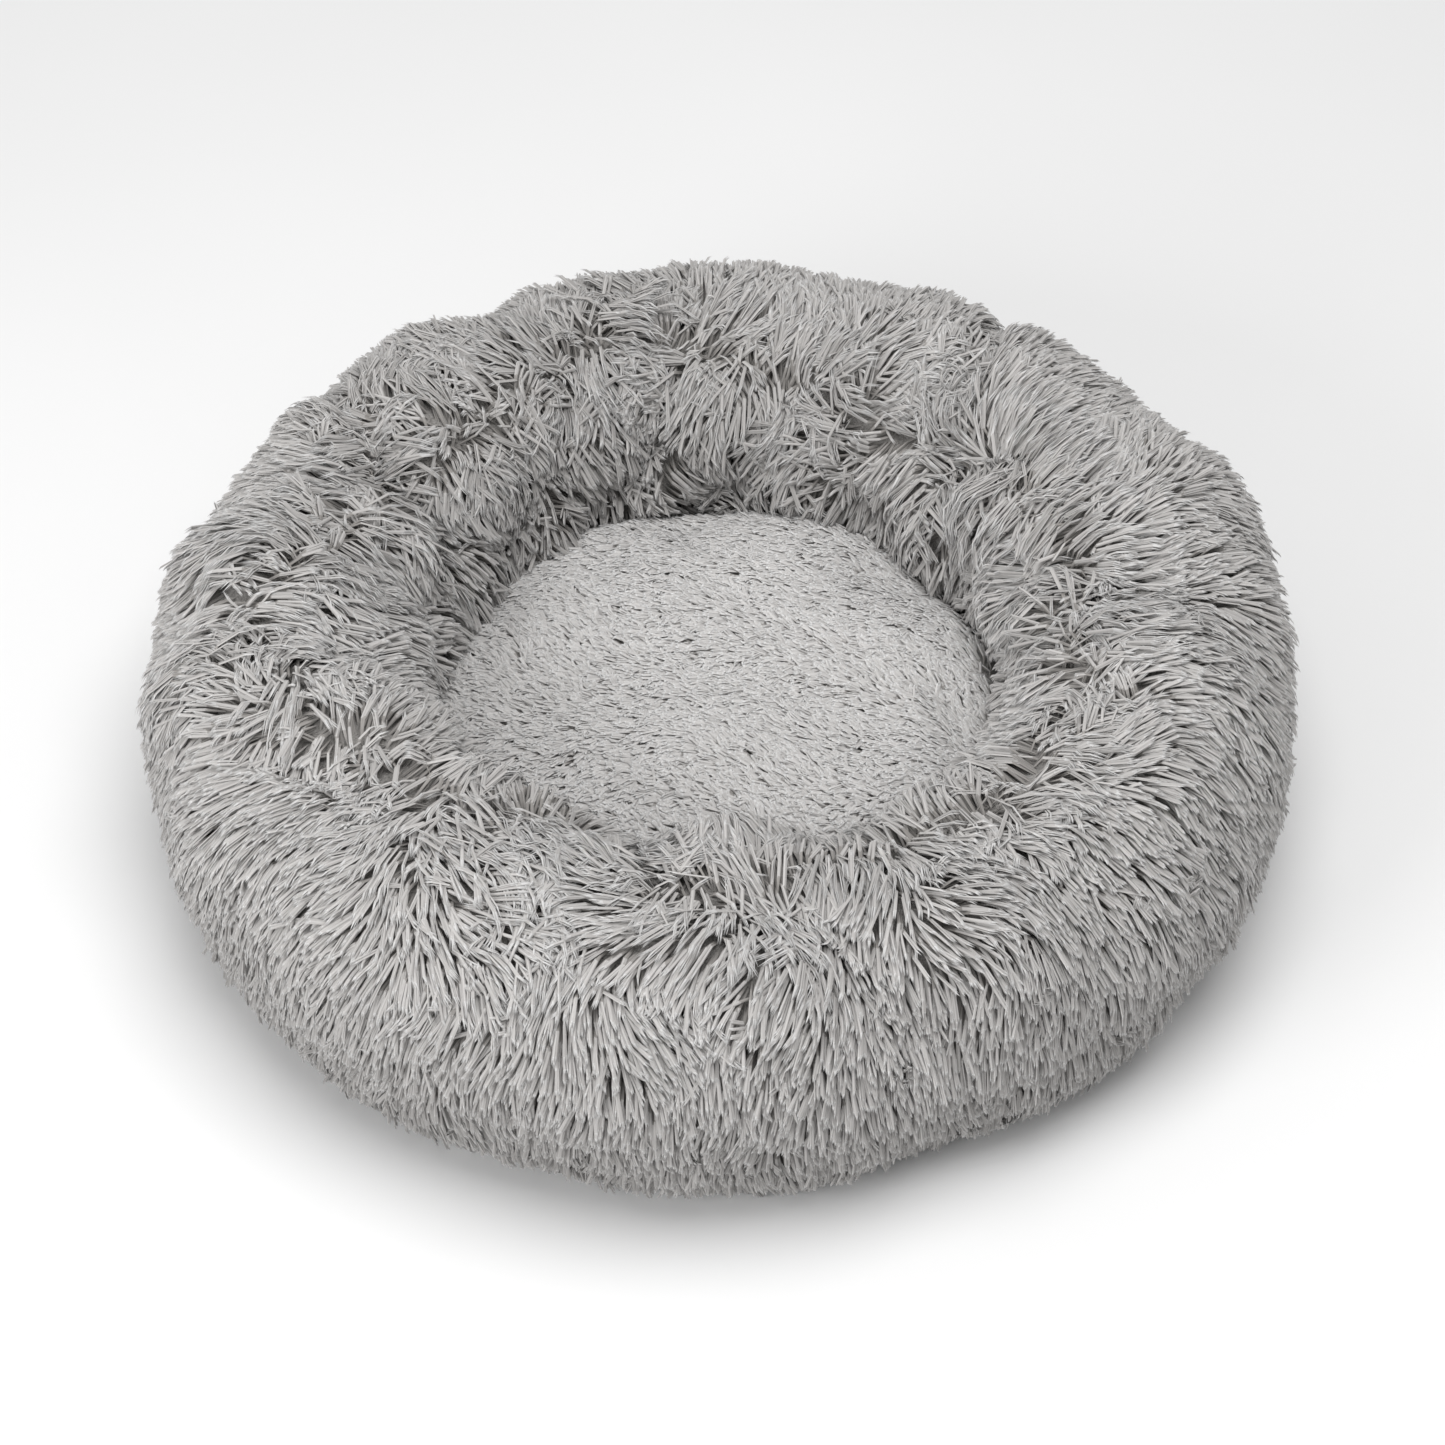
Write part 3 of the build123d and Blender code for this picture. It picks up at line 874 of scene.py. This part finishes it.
def pad_insert_points(inset):
    """The pad insert: a round cushion with a crowned top, full sides and a welt round its middle."""
    az = np.linspace(0, FULL_TURN, 145)[:-1]
    grid_az, turn = np.meshgrid(az, np.linspace(math.pi, 0, 61), indexing="ij")
    reach = (INSERT_RADIUS - inset) * np.maximum(np.sin(turn), 0) ** 0.45
    x, y = reach * np.cos(grid_az), reach * np.sin(grid_az)
    top = pad_shape(x * 0.93, y * 0.93)[..., 2] - BAG_INSET - inset
    low = BAG_LOW + inset
    middle = (top + low) / 2
    height = middle + (top - middle) * np.sign(np.cos(turn)) * np.abs(np.cos(turn)) ** 0.6
    grow = 1 + INSERT_WELT * bump(turn - math.pi / 2, 0.05) / INSERT_RADIUS
    return xyz(x * grow, y * grow, height)


def insert_layer(name, points, sewn, low):
    """A bag or its filling, puffed up by cloth simulation."""
    points = inflated(points, sewn, pressure=3.0, cap=0.003)
    points = over_zip(points, low)
    made = new_object(name, points.reshape(-1, 3), grid_faces(*points.shape[:2], True))
    return made


def inserts():
    """The ring insert and the pad insert, each a bag round its filling."""
    bag_cloth = spunbond("insert_bag")
    filling = wadding("insert_filling")
    for kind, shape, sewn, fill in (
        ("rim", ring_insert_points, (0, 1), 0.8),
        ("pad", pad_insert_points, (0, 0.5, 1), 0.7),
    ):
        bag = insert_layer(f"{kind}_bag", shape(0), sewn, BAG_LOW)
        add_piece(bag, "liner_cloth", bag_cloth, f"{kind}_liner")
        wad = insert_layer(f"{kind}_filling", shape(FILL_INSET), sewn, BAG_LOW + FILL_LIFT)
        add_piece(wad, "fibre_fill", filling, f"{kind}_fill")


# ---- the underside -----------------------------------------------------------------------
GRIP_HEIGHT = 0.0006        # the grip dots hold the base cloth this far off the floor
GRIP_DEEP = GRIP_HEIGHT + 0.0002    # height of a dot, which starts inside the cloth
GRIP_RADIUS = 0.0014
GRIP_SIDES = 10
GRIP_PITCH = 0.012
GRIP_MARGIN = 0.008         # from the dots to the edge of the base
OPENING_HALF = 0.009        # of the gap between the base panels, over the zip
OPENING_REACH = ZIP_END - 0.008
OPENING_TAPER = 0.004       # the length over which it closes, at either end
PUCKER = 0.00012            # height of the base cloth's puckers along its seams


def panel_edges(side, across):
    """Y of a base panel's two edges, beside the zip and round the bed, at each X."""
    round_edge = np.sqrt(np.maximum(BASE_RADIUS**2 - across**2, 0))
    opening = OPENING_HALF * step_up(OPENING_REACH - np.abs(across), 0, OPENING_TAPER)
    near = ZIP_Y + side * opening
    return np.clip(near, -round_edge, round_edge), side * round_edge


def closed_sheet(lower, upper):
    """Points and faces of a sheet from grids of its two sides: round its thickness, and over its ends."""
    loop = np.concatenate([lower, upper[:, ::-1]], axis=1).transpose(1, 0, 2)
    rows, columns = loop.shape[:2]
    index = np.arange(rows // 2 - 1)
    first = np.stack([index + 1, index, rows - 1 - index, rows - 2 - index], axis=1) * columns
    last = first[:, ::-1] + columns - 1
    return loop.reshape(-1, 3), np.concatenate([grid_faces(rows, columns, True), first, last])


def base_panel(side, place, material):
    """One half of the woven underside: a thin sheet, puckered along its seams."""
    widest = BASE_RADIUS if side > 0 else math.sqrt(BASE_RADIUS**2 - ZIP_Y**2)
    across = widest * np.sin(np.linspace(-math.pi / 2, math.pi / 2, 161)) * 0.9999
    ends = OPENING_REACH - np.linspace(0, OPENING_TAPER, 6)
    across = np.unique(np.concatenate([across, ends, -ends]))
    near, far = panel_edges(side, across)
    share = np.linspace(0, 1, 61)
    x = np.repeat(across[:, None], len(share), axis=1)
    y = near[:, None] + (far - near)[:, None] * share
    edge = bump(np.hypot(x, y) - BASE_RADIUS, 0.012) + bump(y - near[:, None], 0.008)
    rise = PUCKER * np.clip(edge, 0, 1) * np.abs(waves(xyz(x, y, 0.0), 0.009, SEED + 40))
    lower, upper = xyz(x, y, GRIP_HEIGHT + rise), xyz(x, y, BASE_TOP)
    made = new_object(f"base_cloth_{place}", *closed_sheet(lower, upper), smooth=False)
    if side < 0:
        made.data.flip_normals()
    add_piece(made, "base_cloth", material, f"base_panel_{place}")


def dot_places(side):
    """Where the grip dots are under one base panel: staggered rows, clear of its edges."""
    row_pitch = GRIP_PITCH * math.sqrt(3) / 2
    for row in range(int(2 * BASE_RADIUS / row_pitch)):
        y = -BASE_RADIUS + (row + 0.5) * row_pitch
        lead = GRIP_PITCH / 2 * (row % 2)
        for x in np.arange(-BASE_RADIUS + lead, BASE_RADIUS, GRIP_PITCH):
            clear = math.hypot(x, y) < BASE_RADIUS - GRIP_MARGIN
            if clear and side * (y - ZIP_Y) > ZIP_HALF + GRIP_MARGIN / 2:
                yield x, y, GRIP_DEEP


def dome():
    """Points and faces of one dot, which hangs from the origin: two rings and a tip."""
    around = np.arange(GRIP_SIDES) * FULL_TURN / GRIP_SIDES
    rings = ((1.0, 0.0), (0.85, 0.55), (0.45, 0.9))
    points = [(math.cos(a) * out, math.sin(a) * out, down) for out, down in rings for a in around]
    last, tip = (len(rings) - 1) * GRIP_SIDES, len(rings) * GRIP_SIDES
    faces = [face[::-1] for face in ring_faces(len(rings), GRIP_SIDES, False)]
    faces += [(last + corner, tip, last + (corner + 1) % GRIP_SIDES) for corner in range(GRIP_SIDES)]
    return np.array(points + [(0, 0, 1)]) * (GRIP_RADIUS, GRIP_RADIUS, -GRIP_DEEP), faces


def grip_dots(side, place, material):
    """The domed non-slip dots under one base panel."""
    points, one = dome()
    places = np.array(list(dot_places(side)))
    verts = (places[:, None] + points).reshape(-1, 3)
    starts = range(0, len(verts), len(points))
    faces = [tuple(start + corner for corner in face) for start in starts for face in one]
    add_piece(new_object(f"grip_dots_{place}", verts, faces), "base_cloth", material)


# ---- threads and the zip -----------------------------------------------------------------
TUBE_SIDES = 6


def tube_along(name, path, radius, hint, closed):
    """A round tube along a line of points. hint is a direction that the line never follows."""
    if closed:
        along = unit(np.roll(path, -1, axis=0) - np.roll(path, 1, axis=0))
    else:
        along = unit(np.gradient(path, axis=0))
    side = unit(np.cross(along, np.array(hint)))
    other = np.cross(along, side)
    turn = np.arange(TUBE_SIDES) * FULL_TURN / TUBE_SIDES
    spokes = np.cos(turn)[:, None] * side[:, None] + np.sin(turn)[:, None] * other[:, None]
    verts = (path[:, None] + radius * spokes).reshape(-1, 3)
    faces = ring_faces(len(path), TUBE_SIDES, closed)
    if not closed:
        faces += [tuple(range(TUBE_SIDES))[::-1], tuple(range(len(verts) - TUBE_SIDES, len(verts)))]
    return new_object(name, verts, faces)


STITCH = 0.0036             # length of one stitch
STITCH_POINTS = 5           # in each stitch
THREAD_RADIUS = 0.0002
THREAD_PROUD = 0.0004       # how far the stitching stands off the base cloth
SEAM_EDGE = 0.002           # from the base's stitching to its edge
PLUSH_SEAM_HALF = 0.0006    # half the thickness of the two plushes where they are sewn together


def stitched(line, low, high):
    """A thread along a flat line, which passes up and down through the cloth at every stitch."""
    step = np.linalg.norm(np.diff(line, axis=0), axis=1)
    run = np.concatenate([[0], np.cumsum(step)])
    up = np.clip(1.6 * np.sin(run * math.pi / STITCH), -1, 1)
    height = (low + high) / 2 + (high - low - 2 * THREAD_RADIUS) / 2 * up
    return xyz(line[:, 0], line[:, 1], height)


def round_seam(name, radius, low, high, material):
    """The stitching of one of the two round seams."""
    stitches = 2 * round(math.pi * radius / STITCH)
    az = np.arange(stitches * STITCH_POINTS) * FULL_TURN / (stitches * STITCH_POINTS)
    line = radius * np.stack([np.cos(az), np.sin(az)], axis=1)
    made = tube_along(name, stitched(line, low, high), THREAD_RADIUS, (0, 0, 1), True)
    add_piece(made, "thread", material, name.replace("_stitches", "_thread"))


def zip_seam(place, material):
    """The stitching of one zip tape to its base panel."""
    low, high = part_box(f"zip_thread_{place}")
    x = np.arange(low[0], high[0], STITCH / STITCH_POINTS)
    line = np.stack([x, np.full_like(x, (low[1] + high[1]) / 2)], axis=1)
    path = stitched(line, low[2], BASE_TOP + 2 * THREAD_PROUD)
    made = tube_along(f"zip_stitches_{place}", path, THREAD_RADIUS, (0, 0, 1), False)
    add_piece(made, "thread", material, f"zip_thread_{place}")


COIL_PITCH = 0.002
COIL_WIRE = 0.00034         # half the filament's thickness
COIL_STEPS = 12             # points in each turn of the coil


def zip_coil(side, place, material):
    """One side of the zip: a nylon filament, wound in loops that open towards the slot."""
    low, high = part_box(f"zip_coil_{place}")
    half_wide = (high[1] - low[1]) / 2 - COIL_WIRE
    half_tall = (high[2] - low[2]) / 2 - COIL_WIRE
    turns = int((high[0] - low[0] - 2 * COIL_WIRE) / COIL_PITCH)
    turn = np.arange(turns * COIL_STEPS) * FULL_TURN / COIL_STEPS
    lead = COIL_PITCH / 2 if side > 0 else 0
    x = low[0] + COIL_WIRE + lead / 2 + turn / FULL_TURN * COIL_PITCH
    head = np.sign(np.cos(turn)) * np.abs(np.cos(turn)) ** 0.8
    y = (low[1] + high[1]) / 2 + half_wide * head
    z = (low[2] + high[2]) / 2 + half_tall * np.sin(turn)
    made = tube_along(f"zip_filament_{place}", xyz(x, y, z), COIL_WIRE, (1, 0, 0), False)
    add_piece(made, "zip_coil", material, f"zip_coil_{place}")


CRIMP_ROUND = 0.0004


def zip_stop(node, material):
    """A crimped stop: a block with rounded edges."""
    low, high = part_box(node)
    shape = bmesh.new()
    bmesh.ops.create_cube(shape, size=1)
    for corner in shape.verts:
        corner.co = Vector(((low[i] + high[i]) / 2 + corner.co[i] * (high[i] - low[i]) for i in range(3)))
    rounding = {"offset": CRIMP_ROUND, "segments": 3, "profile": 0.6, "clamp_overlap": True}
    bmesh.ops.bevel(shape, geom=shape.edges[:], affect="EDGES", **rounding)
    mesh = bpy.data.meshes.new(f"{node}_crimp")
    shape.to_mesh(mesh)
    shape.free()
    add_piece(linked(mesh), "zip_stop", material, node)


def finish_node(node, material):
    """Gives a CAD node that stays in view its material."""
    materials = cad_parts[node].data.materials
    materials.clear()
    materials.append(material)


def underside():
    """Base panels, their grip dots, the seams, the label and the zip."""
    base_cloth = oxford("base_oxford")
    rubber = moulded("grip_dots", ((0.055, 0.055, 0.057), (0.085, 0.085, 0.087)), (0.5, 0.7), grain=0.0008)
    thread = twisted_thread("sewing_thread")
    nylon_greys = (0.115, 0.115, 0.117), (0.165, 0.165, 0.167)
    nylon = moulded("coil_nylon", nylon_greys, (0.22, 0.38), grain=0.0012)
    tape = herringbone("zip_tape")
    crimp = scuffed_metal("zip_stop", ((0.52, 0.52, 0.53), (0.68, 0.68, 0.69)), metallic=1.0)
    slider = scuffed_metal("zip_slider", ((0.10, 0.10, 0.102), (0.14, 0.14, 0.142)), metallic=0.0)
    for side, place in ((-1, "front"), (1, "rear")):
        base_panel(side, place, base_cloth)
        grip_dots(side, place, rubber)
        zip_seam(place, thread)
        zip_coil(side, place, nylon)
        finish_node(f"zip_tape_{place}", tape)
        zip_stop(f"zip_top_stop_{place}", crimp)
    zip_stop("zip_bottom_stop", crimp)
    base_low, base_high = GRIP_HEIGHT - THREAD_PROUD, BASE_TOP + THREAD_PROUD
    round_seam("base_seam_stitches", BASE_RADIUS - SEAM_EDGE, base_low, base_high, thread)
    floor_low, floor_high = PAD_SEAM - PLUSH_SEAM_HALF, PAD_SEAM + PLUSH_SEAM_HALF
    round_seam("floor_seam_stitches", PAD_RADIUS + THREAD_RADIUS, floor_low, floor_high, thread)
    finish_node("zip_slider", slider)
    finish_node("zip_pull", slider)
    finish_node("care_label", satin("label_satin"))


# ---- camera, light and floor -------------------------------------------------------------
CAMERA_AWAY = 2.0
CAMERA_ELEVATION = math.radians(45.5)
CAMERA_LENS = 95.4
AIM = Vector((0.0018, 0, 0.061))
LOOK_AT = Vector((0, 0, 0.080))


def pointed_at(thing, target):
    """Turns a camera or a light towards a point."""
    thing.rotation_mode = "QUATERNION"
    thing.rotation_quaternion = (target - thing.location).to_track_quat("-Z", "Y")
    bpy.context.collection.objects.link(thing)


def camera():
    """The camera that frames the bed from the front and above."""
    data = bpy.data.cameras.new("camera")
    data.lens = CAMERA_LENS
    data.sensor_width = 36
    cam = bpy.data.objects.new("camera", data)
    back = Vector((0, -math.cos(CAMERA_ELEVATION), math.sin(CAMERA_ELEVATION)))
    cam.location = LOOK_AT + back * CAMERA_AWAY
    pointed_at(cam, AIM)
    bpy.context.scene.camera = cam


def soft_light(name, place, size, watts):
    """A round white soft box that faces the bed."""
    data = bpy.data.lights.new(name, "AREA")
    data.shape = "DISK"
    data.size = size
    data.energy = watts
    light = bpy.data.objects.new(name, data)
    light.location = place
    pointed_at(light, LOOK_AT)


def studio():
    """White floor, pale surroundings and two soft boxes."""
    bpy.ops.mesh.primitive_plane_add(size=12, location=(0, 0, 0))
    floor = bpy.context.object
    floor.name = "studio_floor"
    paper = Texture("studio_floor", specular=0.2)
    paper.coloured(paper.noise(0.4), (0.85, 0.85, 0.85), (0.87, 0.87, 0.87))
    floor.data.materials.append(paper.material)
    world = bpy.data.worlds.new("studio")
    world.use_nodes = True
    set_inputs(world.node_tree.nodes["Background"], {"Color": (1, 1, 1, 1), "Strength": 0.47})
    bpy.context.scene.world = world
    soft_light("key", (0.2, -0.4, 2.25), size=1.6, watts=34)
    soft_light("window", (-1.8, -1.7, 1.3), size=1.3, watts=31)
    bpy.context.scene.view_settings.view_transform = "Standard"


# ---- the bed -----------------------------------------------------------------------------
RIM_LOCKS = 58000
PAD_LOCKS = 18000
PAD_GREYS = ((0.66, 0.655, 0.652), (0.71, 0.705, 0.702), (0.61, 0.605, 0.602))
# Tones from light to dark. Locks mix the first three at random; the two darkest are painted shade, for
# locks low on the outside and on the back's crest and inner wall.
RIM_GREYS = (
    (0.625, 0.618, 0.612),
    (0.565, 0.558, 0.552),
    (0.505, 0.498, 0.492),
    (0.430, 0.423, 0.417),
    (0.370, 0.363, 0.357),
)
# Painted shade along a fibre, root to tip: the darker roots stand for the shade deep in the pile.
BAND_PAINTED_SHADES = ((0.55, 0.53, 0.51), (0.84, 0.825, 0.812), (1, 1, 1))

camera()
studio()
rim = RimSkin()
pad = PadSkin()
rim.settle(sewn=(0, 1), pressure=4.0, cap=0.004)
pad.settle(sewn=(0,), pressure=4.0, cap=0.003)
skin_piece("rim_skin", rim, "plush_rim", "rim_cover")
skin_piece("cushion_skin", pad, "plush_floor", "cushion_cover")
inserts()
underside()
rim_pile(RIM_LOCKS, palette("rim_fibre", RIM_GREYS, BAND_PAINTED_SHADES))
pad_pile(PAD_LOCKS, palette("floor_fibre", PAD_GREYS, BAND_PAINTED_SHADES))
